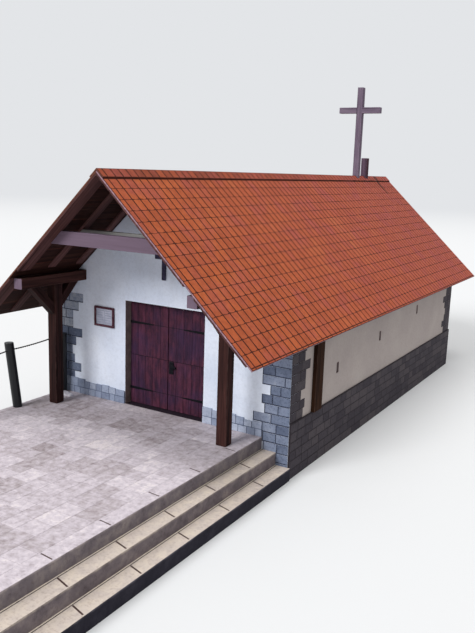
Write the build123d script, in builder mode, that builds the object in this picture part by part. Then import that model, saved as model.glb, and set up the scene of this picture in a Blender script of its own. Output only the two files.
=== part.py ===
from build123d import *
import math
import os

# Small chapel, a card scale model at 1:87, in millimetres.
# +Z is up and +Y runs from the porch to the back. Z = 0 is the ground at the side of the steps.
# The origin is under the middle of the whole model.

# Hall
hall_width = 72.6
hall_length = 131.0
wall_thickness = 3.0
floor_level = 9.0
floor_thickness = 2.0

# Roof
ridge_height = 68.6
eave_height = 31.7
eave_overhang = 3.2
front_overhang = 23.5
back_overhang = 21.0
roof_card = 0.4
cap_card = 0.3
cap_width = 2.35
cap_end_length = 14.5

# Raised terrace in front, in whole paving bays, with steps along its right side
bay_length = 14.0
bay_count = 6
step_count = 3
tread_depth = 3.8
step_outset = 0.7
terrace_inset = 3.6

# Doorway and its two leaves
door_centre = 0.7
door_width = 24.2
door_height = 27.3
door_recess = 2.0
leaf_thickness = 0.9
leaf_side_gap = 0.25
leaf_middle_gap = 0.2
leaf_foot_gap = 0.25
strap_height = 0.7
strap_thickness = 0.2
strap_share = 0.62
strap_low = 3.95
strap_high = 21.3
lock_width = 1.3
lock_height = 3.2
lock_level = 9.8
lock_inset = 0.35
lever_length = 1.8
lever_thickness = 0.35

# Slit windows in the side walls, each higher than the one before it
slit_distances = (26.1, 56.2, 89.9)
slit_width = 1.4
slit_height = 2.8
slit_level = 19.8
slit_rise = 2.87

# Stone plinth, a thin skin on the walls
plinth_height = 13.4
plinth_skin = 0.4

# Timber pilasters on the side walls
pilaster_distance = 11.1
pilaster_width = 4.2
pilaster_depth = 1.0

# Porch timbers. The purlins stand a little left of the middle, and each post a little outside its purlin.
purlin_spread = 49.8
purlin_shift = -0.85
purlin_width = 2.6
purlin_height = 2.6
purlin_setback = 1.4
post_outset = 0.7
post_size = 2.6
post_distance = 10.7
brace_width = 2.1
brace_thickness = 2.1
front_brace_run = 7.8
back_brace_run = 6.2
rafter_width = 2.5
front_rafter_width = 4.2
rafter_depth = 0.4
rafter_distances = (2.7, 12.3)
rear_rafter_count = 3
tie_level = 51.6
tie_height = 3.1
tie_thickness = 1.6
front_tie_distance = 18.4

# Fittings on the front wall
board_distance = 6.8
board_level = 28.6
board_width = 6.5
board_height = 5.2
board_border = 0.5
board_depth = 0.6
sheet_thickness = 0.2
wall_cross_level = 42.7
wall_cross_height = 8.8
wall_cross_span = 5.3
wall_cross_bar = 1.1
wall_cross_thickness = 0.5
wall_cross_arm_level = 5.6

# Cross and small post on the ridge
ridge_cross_setback = 11.1
ridge_cross_height = 32.6
ridge_cross_span = 15.8
ridge_cross_bar = 2.1
ridge_cross_arm_level = 24.5
ridge_post_setback = 3.0
ridge_post_size = 2.3
ridge_post_height = 6.6

# Fence on the terrace
fence_post_radius = 1.15
fence_post_height = 16.3
fence_post_inset = 1.3
fence_spacing = 16.0
fence_first_distance = 2.0
fence_leans = (0.0, 9.0, 3.0, 6.0, 1.5, 4.5)
rope_radius = 0.16
rope_level = 14.3
rope_first_level = 15.9
rope_sag = 0.25
rope_clearance = 0.05
rope_bend_share = 0.45

# Places worked out from the sizes above
terrace_length = bay_length * bay_count
overall_length = terrace_length + hall_length + back_overhang
terrace_front = -overall_length / 2
front_face = terrace_front + terrace_length
front_inner = front_face + wall_thickness
back_face = front_face + hall_length
back_inner = back_face - wall_thickness
half_width = hall_width / 2
inner_half = half_width - wall_thickness
roof_front = front_face - front_overhang
roof_back = back_face + back_overhang
roof_half = half_width + eave_overhang
slope = (ridge_height - eave_height) / roof_half
pitch = math.atan(slope)
step_height = floor_level / step_count
terrace_left = -half_width + terrace_inset
steps_outer = half_width + step_outset
terrace_right = steps_outer - tread_depth * (step_count - 1)
door_left = door_centre - door_width / 2
door_right = door_centre + door_width / 2
door_top = floor_level + door_height
roof_under = ridge_height - roof_card / math.cos(pitch)
rafter_under = roof_under - rafter_depth / math.cos(pitch)
post_front = front_face - post_distance
post_back = post_front + post_size

os.makedirs("parts", exist_ok=True)


def save(piece, label):
    piece.part.label = label
    export_step(piece.part, f"parts/{label}.step")


def block(x_low, x_high, y_low, y_high, z_low, z_high):
    """An upright box between the given faces, added to the part being built."""
    with Locations((x_low, y_low, z_low)):
        Box(
            x_high - x_low,
            y_high - y_low,
            z_high - z_low,
            align=(Align.MIN, Align.MIN, Align.MIN),
        )


def section(points, y_low, y_high):
    """A closed outline in X and Z, added to the part being built from y_low to y_high."""
    with BuildSketch(Plane.XZ.offset(-y_low)) as outline:
        with BuildLine():
            Polyline(*points, close=True)
        make_face()
    extrude(outline.sketch, amount=-(y_high - y_low))


def mirrored(points, side):
    """The same outline on the right (side 1) or left (side -1) of the middle plane."""
    return [(side * x, z) for x, z in points]


def under_roof(x):
    """Height of the roof card's underside at a distance x from the middle."""
    return roof_under - slope * abs(x)


def purlin_reach(side):
    """Distance of a purlin's middle line from the middle plane, on the right (1) or left (-1)."""
    return purlin_spread / 2 + side * purlin_shift


def gable_wall(x_low, x_high, z_low, z_high, y_low, y_high):
    """A piece of gable wall that stops under the roof."""
    with BuildSketch(Plane.XZ.offset(-y_low)) as face:
        with BuildLine():
            Polyline(
                (-half_width, 0),
                (half_width, 0),
                (half_width, under_roof(half_width)),
                (0, roof_under),
                (-half_width, under_roof(half_width)),
                close=True,
            )
        make_face()
        with Locations(((x_low + x_high) / 2, (z_low + z_high) / 2)):
            Rectangle(x_high - x_low, z_high - z_low, mode=Mode.INTERSECT)
    extrude(face.sketch, amount=-(y_high - y_low))


# Terrace and steps
with BuildPart() as terrace:
    block(terrace_left, terrace_right, terrace_front, front_face, 0, floor_level)
save(terrace, "terrace")

for number in range(1, step_count):
    outer = steps_outer - tread_depth * (number - 1)
    with BuildPart() as step:
        block(outer - tread_depth, outer, terrace_front, front_face, 0, step_height * number)
    save(step, f"step_{number}")

# Hall floor and door sill
with BuildPart() as hall_floor:
    block(-inner_half, inner_half, front_inner, back_inner, floor_level - floor_thickness, floor_level)
save(hall_floor, "hall_floor")

with BuildPart() as door_sill:
    block(door_left, door_right, front_face, front_inner, 0, floor_level)
save(door_sill, "door_sill")

# Front wall, split beside and over the doorway
with BuildPart() as front_wall_left:
    gable_wall(-half_width, door_left, 0, door_top, front_face, front_inner)
save(front_wall_left, "front_wall_left")

with BuildPart() as front_wall_right:
    gable_wall(door_right, half_width, 0, door_top, front_face, front_inner)
save(front_wall_right, "front_wall_right")

with BuildPart() as front_gable:
    gable_wall(-half_width, half_width, door_top, ridge_height, front_face, front_inner)
save(front_gable, "front_gable")

with BuildPart() as back_wall:
    gable_wall(-half_width, half_width, 0, ridge_height, back_inner, back_face)
save(back_wall, "back_wall")

# Side walls with their slit windows, side plinths and timber pilasters
side_wall_outline = [
    (inner_half, 0),
    (half_width, 0),
    (half_width, under_roof(half_width)),
    (inner_half, under_roof(inner_half)),
]
pilaster_outer = half_width + pilaster_depth
pilaster_outline = [
    (half_width, plinth_height),
    (pilaster_outer, plinth_height),
    (pilaster_outer, under_roof(pilaster_outer)),
    (half_width, under_roof(half_width)),
]
slit_centres = []
for index, distance in enumerate(slit_distances):
    slit_middle = slit_level + slit_height / 2 + slit_rise * index
    slit_centres.append((front_face + distance, slit_middle))

for name, side in (("left", -1), ("right", 1)):
    with BuildPart() as side_wall:
        section(mirrored(side_wall_outline, side), front_inner, back_inner)
        for slit_y, slit_z in slit_centres:
            with Locations((side * (inner_half + half_width) / 2, slit_y, slit_z)):
                Box(wall_thickness * 2, slit_width, slit_height, mode=Mode.SUBTRACT)
    save(side_wall, f"{name}_wall")

    skin_faces = sorted((side * half_width, side * (half_width + plinth_skin)))
    with BuildPart() as side_plinth:
        block(*skin_faces, front_face, back_face, 0, plinth_height)
    save(side_plinth, f"{name}_plinth")

    pilaster_start = front_face + pilaster_distance
    with BuildPart() as pilaster:
        section(mirrored(pilaster_outline, side), pilaster_start, pilaster_start + pilaster_width)
    save(pilaster, f"{name}_pilaster")

# Plinth on the front wall, above the terrace, and on the back wall
with BuildPart() as front_plinth_left:
    block(terrace_left, door_left, front_face - plinth_skin, front_face, floor_level, plinth_height)
save(front_plinth_left, "front_plinth_left")

with BuildPart() as front_plinth_right:
    block(door_right, terrace_right, front_face - plinth_skin, front_face, floor_level, plinth_height)
save(front_plinth_right, "front_plinth_right")

with BuildPart() as back_plinth:
    block(-half_width, half_width, back_face, back_face + plinth_skin, 0, plinth_height)
save(back_plinth, "back_plinth")

# Door leaves, hinged at the jambs on the inner side, with straps and a lock on the outer side
leaf_outer = front_face + door_recess
leaf_inner = leaf_outer + leaf_thickness
leaf_width = (door_width - leaf_middle_gap) / 2 - leaf_side_gap
leaf_bottom = floor_level + leaf_foot_gap
leaf_top = door_top - leaf_foot_gap
strap_length = leaf_width * strap_share

for name, side in (("left", -1), ("right", 1)):
    hinge_x = door_centre + side * (door_width / 2 - leaf_side_gap)
    leaf_sides = sorted((hinge_x, hinge_x - side * leaf_width))
    strap_sides = sorted((hinge_x, hinge_x - side * strap_length))
    with BuildPart() as door_leaf:
        block(*leaf_sides, leaf_outer, leaf_inner, leaf_bottom, leaf_top)
    save(door_leaf, f"door_leaf_{name}")

    with BuildPart() as door_straps:
        for level in (strap_low, strap_high):
            strap_z = floor_level + level
            block(*strap_sides, leaf_outer - strap_thickness, leaf_outer, strap_z, strap_z + strap_height)
    save(door_straps, f"door_straps_{name}")

with BuildPart() as door_lock:
    lock_left = door_centre + leaf_middle_gap / 2 + lock_inset
    lock_front = leaf_outer - strap_thickness
    lock_bottom = floor_level + lock_level
    lever_bottom = lock_bottom + lock_height / 2
    block(lock_left, lock_left + lock_width, lock_front, leaf_outer, lock_bottom, lock_bottom + lock_height)
    block(
        lock_left + lever_thickness,
        lock_left + lever_thickness + lever_length,
        lock_front - lever_thickness,
        lock_front,
        lever_bottom,
        lever_bottom + lever_thickness,
    )
save(door_lock, "door_lock")

# Roof panels, mitred at the ridge
edge_in = roof_card * math.sin(pitch)
edge_down = roof_card * math.cos(pitch)
panel_outline = [
    (0, roof_under),
    (0, ridge_height),
    (roof_half, eave_height),
    (roof_half - edge_in, eave_height - edge_down),
]
for name, side in (("left", -1), ("right", 1)):
    with BuildPart() as roof_panel:
        section(mirrored(panel_outline, side), roof_front, roof_back)
    save(roof_panel, f"roof_panel_{name}")

# Ridge cap, a folded strip in two lengths
cap_top = ridge_height + cap_card / math.cos(pitch)
cap_reach = cap_width * math.cos(pitch)
cap_foot_in = cap_card * math.sin(pitch)
cap_foot_up = cap_card * math.cos(pitch)
cap_outline = [
    (0, ridge_height),
    (cap_reach, ridge_height - slope * cap_reach),
    (cap_reach + cap_foot_in, ridge_height - slope * cap_reach + cap_foot_up),
    (0, cap_top),
    (-cap_reach - cap_foot_in, ridge_height - slope * cap_reach + cap_foot_up),
    (-cap_reach, ridge_height - slope * cap_reach),
]
cap_joint = roof_back - cap_end_length
with BuildPart() as ridge_cap:
    section(cap_outline, roof_front, cap_joint)
save(ridge_cap, "ridge_cap")

with BuildPart() as ridge_cap_end:
    section(cap_outline, cap_joint, roof_back)
save(ridge_cap_end, "ridge_cap_end")

# Rafters under the overhangs, a wide one at the front. At the porch they stop on each side of the purlin.
rafter_end = roof_half - edge_in
rafter_foot = rafter_end - rafter_depth * math.sin(pitch)
whole_rafter = [
    (0, rafter_under),
    (0, roof_under),
    (rafter_end, under_roof(rafter_end)),
    (rafter_foot, rafter_under - slope * rafter_foot),
]
rear_rafter_step = (back_overhang - rafter_width) / (rear_rafter_count - 1)
for name, side in (("left", -1), ("right", 1)):
    purlin_inner = purlin_reach(side) - purlin_width / 2
    purlin_outer = purlin_reach(side) + purlin_width / 2
    with BuildPart() as porch_rafters:
        section(mirrored(whole_rafter, side), roof_front, roof_front + front_rafter_width)
        for distance in rafter_distances:
            rafter_back = front_face - distance + rafter_width / 2
            section(mirrored(whole_rafter, side), rafter_back - rafter_width, rafter_back)
        purlin_sides = sorted((side * purlin_inner, side * purlin_outer))
        with BuildSketch(Plane.XZ.offset(-roof_front)) as purlin_slot:
            with Locations((sum(purlin_sides) / 2, ridge_height / 2)):
                Rectangle(purlin_width, ridge_height)
        extrude(purlin_slot.sketch, amount=-front_overhang, mode=Mode.SUBTRACT)
    save(porch_rafters, f"porch_rafters_{name}")

    with BuildPart() as rear_rafters:
        for number in range(rear_rafter_count):
            rafter_front = back_face + rear_rafter_step * number
            section(mirrored(whole_rafter, side), rafter_front, rafter_front + rafter_width)
    save(rear_rafters, f"rear_rafters_{name}")

# Tie beams across the porch, under the rafters
tie_top = tie_level + tie_height
tie_low = (rafter_under - tie_level) / slope
tie_high = (rafter_under - tie_top) / slope
tie_outline = [(-tie_low, tie_level), (tie_low, tie_level), (tie_high, tie_top), (-tie_high, tie_top)]

with BuildPart() as front_tie_beam:
    tie_back = front_face - front_tie_distance
    section(tie_outline, tie_back - tie_thickness, tie_back)
save(front_tie_beam, "front_tie_beam")

with BuildPart() as middle_tie_beam:
    tie_middle = front_face - rafter_distances[1]
    section(tie_outline, tie_middle - tie_thickness / 2, tie_middle + tie_thickness / 2)
save(middle_tie_beam, "middle_tie_beam")

# Purlins, posts and braces of the porch
brace_slant = brace_thickness * math.sqrt(2)
for name, side in (("left", -1), ("right", 1)):
    purlin_inner = purlin_reach(side) - purlin_width / 2
    purlin_outer = purlin_reach(side) + purlin_width / 2
    purlin_sides = sorted((side * purlin_inner, side * purlin_outer))
    purlin_top = under_roof(purlin_outer)
    purlin_bottom = purlin_top - purlin_height
    with BuildPart() as purlin:
        block(*purlin_sides, roof_front + purlin_setback, front_face, purlin_bottom, purlin_top)
    save(purlin, f"porch_purlin_{name}")

    post_x = side * (purlin_reach(side) + post_outset)
    with BuildPart() as post:
        block(
            post_x - post_size / 2,
            post_x + post_size / 2,
            post_front,
            post_back,
            floor_level,
            purlin_bottom,
        )
    save(post, f"porch_post_{name}")

    with BuildPart() as braces:
        with BuildSketch(Plane.YZ.offset(post_x - brace_width / 2)) as brace_sides:
            with BuildLine():
                Polyline(
                    (post_front - front_brace_run, purlin_bottom),
                    (post_front - front_brace_run + brace_slant, purlin_bottom),
                    (post_front, purlin_bottom - front_brace_run + brace_slant),
                    (post_front, purlin_bottom - front_brace_run),
                    close=True,
                )
            make_face()
            with BuildLine():
                Polyline(
                    (post_back + back_brace_run, purlin_bottom),
                    (post_back + back_brace_run - brace_slant, purlin_bottom),
                    (post_back, purlin_bottom - back_brace_run + brace_slant),
                    (post_back, purlin_bottom - back_brace_run),
                    close=True,
                )
            make_face()
        extrude(brace_sides.sketch, amount=brace_width)
    save(braces, f"porch_braces_{name}")

# Notice board: a frame with a sheet in it
board_centre = door_left - board_distance
board_left = board_centre - board_width / 2
board_right = board_centre + board_width / 2
board_top = board_level + board_height
board_front = front_face - board_depth
sheet_left = board_left + board_border
sheet_right = board_right - board_border
sheet_bottom = board_level + board_border
sheet_top = board_top - board_border
with BuildPart() as board_frame:
    block(board_left, sheet_left, board_front, front_face, board_level, board_top)
    block(sheet_right, board_right, board_front, front_face, board_level, board_top)
    block(sheet_left, sheet_right, board_front, front_face, board_level, sheet_bottom)
    block(sheet_left, sheet_right, board_front, front_face, sheet_top, board_top)
save(board_frame, "notice_board_frame")

with BuildPart() as board_sheet:
    block(sheet_left, sheet_right, front_face - sheet_thickness, front_face, sheet_bottom, sheet_top)
save(board_sheet, "notice_board_sheet")


def cross(middle_x, y_low, y_high, foot, height, span, bar, arm_level):
    """An upright cross, its arms arm_level above its foot."""
    block(middle_x - bar / 2, middle_x + bar / 2, y_low, y_high, foot, foot + height)
    arm_bottom = foot + arm_level - bar / 2
    block(middle_x - span / 2, middle_x + span / 2, y_low, y_high, arm_bottom, arm_bottom + bar)


# Iron cross on the gable, over the door
with BuildPart() as wall_cross:
    cross(
        door_centre,
        front_face - wall_cross_thickness,
        front_face,
        wall_cross_level,
        wall_cross_height,
        wall_cross_span,
        wall_cross_bar,
        wall_cross_arm_level,
    )
save(wall_cross, "wall_cross")

# Cross and small post on the ridge, notched over the cap
cap_notch = [
    (0, cap_top),
    (roof_half, cap_top - slope * roof_half),
    (-roof_half, cap_top - slope * roof_half),
]
with BuildPart() as ridge_cross:
    cross_front = back_face - ridge_cross_setback - ridge_cross_bar / 2
    cross_foot = cap_top - slope * ridge_cross_bar / 2
    cross(
        0,
        cross_front,
        cross_front + ridge_cross_bar,
        cross_foot,
        ridge_cross_height,
        ridge_cross_span,
        ridge_cross_bar,
        ridge_cross_arm_level,
    )
    with BuildSketch(Plane.XZ.offset(-roof_front)) as notch:
        with BuildLine():
            Polyline(*cap_notch, close=True)
        make_face()
    extrude(notch.sketch, amount=roof_front - roof_back, mode=Mode.SUBTRACT)
save(ridge_cross, "ridge_cross")

with BuildPart() as ridge_post:
    post_middle = back_face - ridge_post_setback
    block(
        -ridge_post_size / 2,
        ridge_post_size / 2,
        post_middle - ridge_post_size / 2,
        post_middle + ridge_post_size / 2,
        cap_top - slope * ridge_post_size / 2,
        cap_top + ridge_post_height,
    )
    with BuildSketch(Plane.XZ.offset(-roof_front)) as notch:
        with BuildLine():
            Polyline(*cap_notch, close=True)
        make_face()
    extrude(notch.sketch, amount=roof_front - roof_back, mode=Mode.SUBTRACT)
save(ridge_post, "ridge_post")

# Fence along the terrace's left edge: round posts, some leaning outwards, with a rope drawn between them
fence_x = terrace_left + fence_post_inset
fence_reach = terrace_length - fence_first_distance - fence_post_radius
fence_count = int(fence_reach / fence_spacing) + 1
rope_ends = []
with BuildPart() as fence_posts:
    for number in range(fence_count):
        fence_y = front_face - fence_first_distance - fence_spacing * number
        lean = math.radians(fence_leans[number % len(fence_leans)])
        with BuildSketch(Plane.XY.offset(floor_level)) as post_foot:
            with Locations((fence_x, fence_y)):
                Circle(fence_post_radius)
        post_direction = (-math.sin(lean), 0, math.cos(lean))
        extrude(post_foot.sketch, amount=fence_post_height / math.cos(lean), dir=post_direction)
        knot_level = rope_first_level if number == 0 else rope_level
        rope_ends.append(Vector(fence_x - knot_level * math.tan(lean), fence_y, floor_level + knot_level))
save(fence_posts, "fence_posts")

with BuildPart() as fence_rope:
    for back_end, front_end in zip(rope_ends, rope_ends[1:]):
        along = (front_end - back_end).normalized()
        half_run = (front_end - back_end).length / 2 - fence_post_radius - rope_clearance
        middle = (back_end + front_end) / 2
        bend_radius = rope_bend_share * half_run / (rope_sag / half_run)
        with BuildLine() as rope_line:
            FilletPolyline(
                middle - along * half_run,
                middle - Vector(0, 0, rope_sag),
                middle + along * half_run,
                radius=bend_radius,
            )
        with BuildSketch(Plane(origin=rope_line.line @ 0, z_dir=rope_line.line % 0)):
            Circle(rope_radius)
        sweep(path=rope_line.line)
save(fence_rope, "fence_rope")
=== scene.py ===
import math
import random

import bmesh
import bpy
from mathutils import Matrix, Vector, noise


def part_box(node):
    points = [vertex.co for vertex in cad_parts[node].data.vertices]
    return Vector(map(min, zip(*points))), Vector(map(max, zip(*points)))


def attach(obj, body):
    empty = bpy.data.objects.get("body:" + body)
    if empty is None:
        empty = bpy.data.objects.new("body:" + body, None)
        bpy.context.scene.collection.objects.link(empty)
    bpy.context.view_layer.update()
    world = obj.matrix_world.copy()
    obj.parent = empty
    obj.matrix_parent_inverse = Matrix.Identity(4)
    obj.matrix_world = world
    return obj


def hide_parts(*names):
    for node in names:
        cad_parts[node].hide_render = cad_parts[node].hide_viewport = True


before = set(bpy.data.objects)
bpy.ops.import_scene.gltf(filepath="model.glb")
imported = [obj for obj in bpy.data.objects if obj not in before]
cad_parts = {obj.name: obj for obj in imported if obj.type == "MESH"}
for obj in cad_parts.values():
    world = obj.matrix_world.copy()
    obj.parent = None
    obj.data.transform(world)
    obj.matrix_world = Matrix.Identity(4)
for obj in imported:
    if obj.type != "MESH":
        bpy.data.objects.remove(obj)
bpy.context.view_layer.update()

MM = 0.001
BODY = "building"
chance = random.Random(87)


def span(node):
    """The lowest and highest corner of a CAD node, in mm."""
    low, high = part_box(node)
    return low / MM, high / MM


# Levels and faces of the model, in mm, from its own nodes
TERRACE_LOW, TERRACE_HIGH = span("terrace")
FRONT = TERRACE_HIGH.y
DECK = TERRACE_HIGH.z
HALF = -span("left_wall")[0].x
BACK = span("back_wall")[1].y
PLINTH_TOP = span("right_plinth")[1].z
LEAF_TOP = span("door_leaf_left")[1].z
DOOR_LEFT = span("door_sill")[0].x
DOOR_RIGHT = span("door_sill")[1].x
LOWER_STEP = span("step_1")[1].z
UPPER_STEP = span("step_2")[1].z
ROOF_LOW, ROOF_HIGH = span("roof_panel_right")
CAP_HALF = span("ridge_cap")[1].x
CAP_END_LOW, CAP_END_HIGH = span("ridge_cap_end")
# The eave's level and the thickness of the cards, as the part has them
EAVE = 31.7
ROOF_CARD = 0.4
CAP_CARD = 0.3
RIDGE = Vector((0, 0, ROOF_HIGH.z))
SLOPE = (ROOF_HIGH.z - EAVE) / ROOF_HIGH.x
PITCH = math.atan(SLOPE)
SLOPE_LENGTH = math.hypot(ROOF_HIGH.x, ROOF_HIGH.z - EAVE)
CAP_LENGTH = math.hypot(CAP_HALF, SLOPE * CAP_HALF)
UP = Vector((0, 0, 1))
TO_FRONT = Vector((0, -1, 0))
TO_RIGHT = Vector((1, 0, 0))


# Materials

MULTIPLY = {"data_type": "RGBA", "blend_type": "MULTIPLY"}
WHITE = "#ffffff"


def srgb(code):
    """The linear colour of an sRGB hex value."""
    parts = [int(code[i:i + 2], 16) / 255 for i in (1, 3, 5)]
    return (*(c / 12.92 if c <= 0.04045 else ((c + 0.055) / 1.055) ** 2.4 for c in parts), 1)


def add(tree, kind, links=None, stops=None, **settings):
    """Adds one node with its settings, its ramp's stops, and its links or values. Colours are sRGB hex."""
    made = tree.nodes.new("ShaderNode" + kind)
    for name, value in settings.items():
        setattr(made, name, value)
    for number, (place, colour) in enumerate((stops or {}).items()):
        if number >= len(made.color_ramp.elements):
            made.color_ramp.elements.new(place)
        made.color_ramp.elements[number].position = place
        made.color_ramp.elements[number].color = srgb(colour)
    for name, value in (links or {}).items():
        if isinstance(value, bpy.types.Node):
            value = next(output for output in value.outputs if output.enabled)
        if isinstance(value, bpy.types.NodeSocket):
            tree.links.new(value, made.inputs[name])
        else:
            made.inputs[name].default_value = srgb(value) if isinstance(value, str) else value
    return made


def per(size):
    """The scale at which a pattern's marks are that many mm across."""
    return 1 / (size * MM)


def empty_material(name):
    """A material whose tree has no nodes yet."""
    made = bpy.data.materials.new(name)
    made.use_nodes = True
    made.node_tree.nodes.clear()
    return made


def surface(name, paint, gleam=0.15):
    """A material whose shader gets what paint makes of its tree and place. Ink on matt card gleams little."""
    made = empty_material(name)
    tree = made.node_tree
    place = add(tree, "TexCoord").outputs["Object"]
    shader = add(tree, "BsdfPrincipled", {"Specular IOR Level": gleam, **paint(tree, place)})
    add(tree, "OutputMaterial", {"Surface": shader})
    return made


def on_card(tree, place, colour, rough, depth, more=None):
    """A colour on card, which has a fine tooth and, where more is given, a coarser height as well."""
    # Real fibres are under 0.05 mm, too fine to show, so they are drawn at 0.35 mm.
    height = add(tree, "TexNoise", {"Vector": place, "Scale": per(0.35), "Detail": 2.0, "Roughness": 0.6})
    if more is not None:
        height = add(tree, "Math", {0: height, 1: more}, operation="ADD")
    normal = add(tree, "Bump", {"Height": height, "Strength": 1.0, "Distance": depth * MM})
    return {"Base Color": colour, "Roughness": rough, "Normal": normal}


def cloud_print(name, size, stops, rough, depth, detail=4.0, torn=0.7, raised=True, gleam=0.15, sheen=0.0):
    """A plain finish in soft clouds of size mm, which also stand out a little where it is raised."""
    def paint(tree, place):
        clouds = add(tree, "TexNoise", {
            "Vector": place, "Scale": per(size), "Detail": detail, "Roughness": torn})
        toned = add(tree, "ValToRGB", {"Fac": clouds}, stops)
        more = clouds if raised else None
        return {**on_card(tree, place, toned, rough, depth, more), "Sheen Weight": sheen}
    return surface(name, paint, gleam)


def plaster_print(name, base, stain, light, streaky=0.2):
    """Rough white render on matt card: nearly even, with soft clouds, fine grit and the faintest streaks."""
    def paint(tree, place):
        clouds = add(tree, "TexNoise", {"Vector": place, "Scale": per(16), "Detail": 4.0, "Roughness": 0.6})
        toned = add(tree, "ValToRGB", {"Fac": clouds}, {0.30: stain, 0.58: base, 0.80: light})
        hanging = add(tree, "Mapping", {"Vector": place, "Scale": (1, 1, 0.12)})
        streaks = add(tree, "TexNoise", {"Vector": hanging, "Scale": per(2.4), "Detail": 3.0})
        faint = add(tree, "ValToRGB", {"Fac": streaks}, {0.45: WHITE, 0.75: "#e9e6e2"})
        streaked = add(tree, "Mix", {0: streaky, 6: toned, 7: faint}, **MULTIPLY)
        grit = add(tree, "TexNoise", {"Vector": place, "Scale": per(0.7), "Detail": 3.0, "Roughness": 0.7})
        dots = add(tree, "ValToRGB", {"Fac": grit}, {0.30: "#dcdbdc", 0.55: WHITE})
        gritted = add(tree, "Mix", {0: 0.3, 6: streaked, 7: dots}, **MULTIPLY)
        return on_card(tree, place, gritted, 0.86, 0.02, grit)
    return surface(name, paint)


def stone_print(name, stops, speck, mottle=0.22, cloud=2.2, lip=None, top=0):
    """Stone on card: each has its own shade, cloudy and speckled. A step's side is rubbed to lip on top."""
    def paint(tree, place):
        shade = add(tree, "Attribute", attribute_name="shade").outputs["Fac"]
        clouds = add(tree, "TexNoise", {
            "Vector": place, "Scale": per(cloud), "Detail": 5.0, "Roughness": 0.65})
        moved = add(tree, "MapRange", {
            "Value": clouds, "From Min": 0.25, "From Max": 0.75, "To Min": -mottle, "To Max": mottle})
        level = add(tree, "Math", {0: shade, 1: moved}, operation="ADD", use_clamp=True)
        toned = add(tree, "ValToRGB", {"Fac": level}, stops)
        grit = add(tree, "TexNoise", {"Vector": place, "Scale": per(0.55), "Detail": 3.0, "Roughness": 0.7})
        spots = add(tree, "ValToRGB", {"Fac": grit}, {0.28: speck, 0.48: WHITE})
        colour = add(tree, "Mix", {0: 0.55, 6: toned, 7: spots}, **MULTIPLY)
        if lip:
            # The uppermost 0.4 mm of a step's side is rubbed pale in places.
            high = add(tree, "SeparateXYZ", {"Vector": place}).outputs["Z"]
            near = add(tree, "MapRange", {
                "Value": high, "From Min": (top - 0.4) * MM, "From Max": (top - 0.1) * MM})
            worn = add(tree, "MapRange", {
                "Value": clouds, "From Min": 0.40, "From Max": 0.60, "To Min": 0.15, "To Max": 0.9})
            rubbed = add(tree, "Math", {0: near, 1: worn}, operation="MULTIPLY")
            colour = add(tree, "Mix", {0: rubbed, 6: colour, 7: lip}, data_type="RGBA")
        return on_card(tree, place, colour, 0.84, 0.02, grit)
    return surface(name, paint)


def timber_print(name, dark, middle, light, line=1.1, cracking=0.8, worn="#5e4c47", gleam=0.08):
    """Sawn timber on folded card: long streaks along the piece, a few dark cracks, paler rubbed folds."""
    def paint(tree, place):
        along = add(tree, "Attribute", attribute_name="grain").outputs["Vector"]
        drawn = add(tree, "Mapping", {"Vector": along, "Scale": (0.06, 1, 1)})
        streaks = add(tree, "TexNoise", {
            "Vector": drawn, "Scale": per(line), "Detail": 5.0, "Roughness": 0.65, "Distortion": 0.4})
        shade = add(tree, "Attribute", attribute_name="shade").outputs["Fac"]
        moved = add(tree, "MapRange", {"Value": shade, "To Min": -0.10, "To Max": 0.10})
        level = add(tree, "Math", {0: streaks, 1: moved}, operation="ADD")
        toned = add(tree, "ValToRGB", {"Fac": level}, {0.28: dark, 0.52: middle, 0.78: light})
        cracks = add(tree, "Mapping", {"Vector": along, "Scale": (0.02, 1, 1)})
        thin = add(tree, "TexNoise", {"Vector": cracks, "Scale": per(0.5), "Detail": 2.0})
        lined = add(tree, "ValToRGB", {"Fac": thin}, {0.32: "#6a6264", 0.42: WHITE})
        cracked = add(tree, "Mix", {0: cracking, 6: toned, 7: lined}, **MULTIPLY)
        fold = add(tree, "Attribute", attribute_name="fold").outputs["Fac"]
        rubbed = add(tree, "TexNoise", {"Vector": place, "Scale": per(2.5), "Detail": 3.0})
        share = add(tree, "MapRange", {"Value": rubbed, "From Min": 0.42, "From Max": 0.62, "To Max": 0.35})
        folded = add(tree, "Math", {0: fold, 1: share}, operation="MULTIPLY", use_clamp=True)
        finished = add(tree, "Mix", {0: folded, 6: cracked, 7: worn}, data_type="RGBA")
        return on_card(tree, place, finished, 0.72, 0.015, streaks)
    return surface(name, paint, gleam)


def iron_print(name, dark, light, edge):
    """Wrought iron under black paint: pitted, greyer on its edges."""
    def paint(tree, place):
        pits = add(tree, "TexNoise", {"Vector": place, "Scale": per(0.6), "Detail": 3.0, "Roughness": 0.7})
        toned = add(tree, "ValToRGB", {"Fac": pits}, {0.35: dark, 0.7: light})
        fold = add(tree, "Attribute", attribute_name="fold").outputs["Fac"]
        worn = add(tree, "Math", {0: fold, 1: 0.3}, operation="MULTIPLY")
        edged = add(tree, "Mix", {0: worn, 6: toned, 7: edge}, data_type="RGBA")
        return on_card(tree, place, edged, 0.5, 0.012, pits)
    return surface(name, paint, 0.12)


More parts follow.
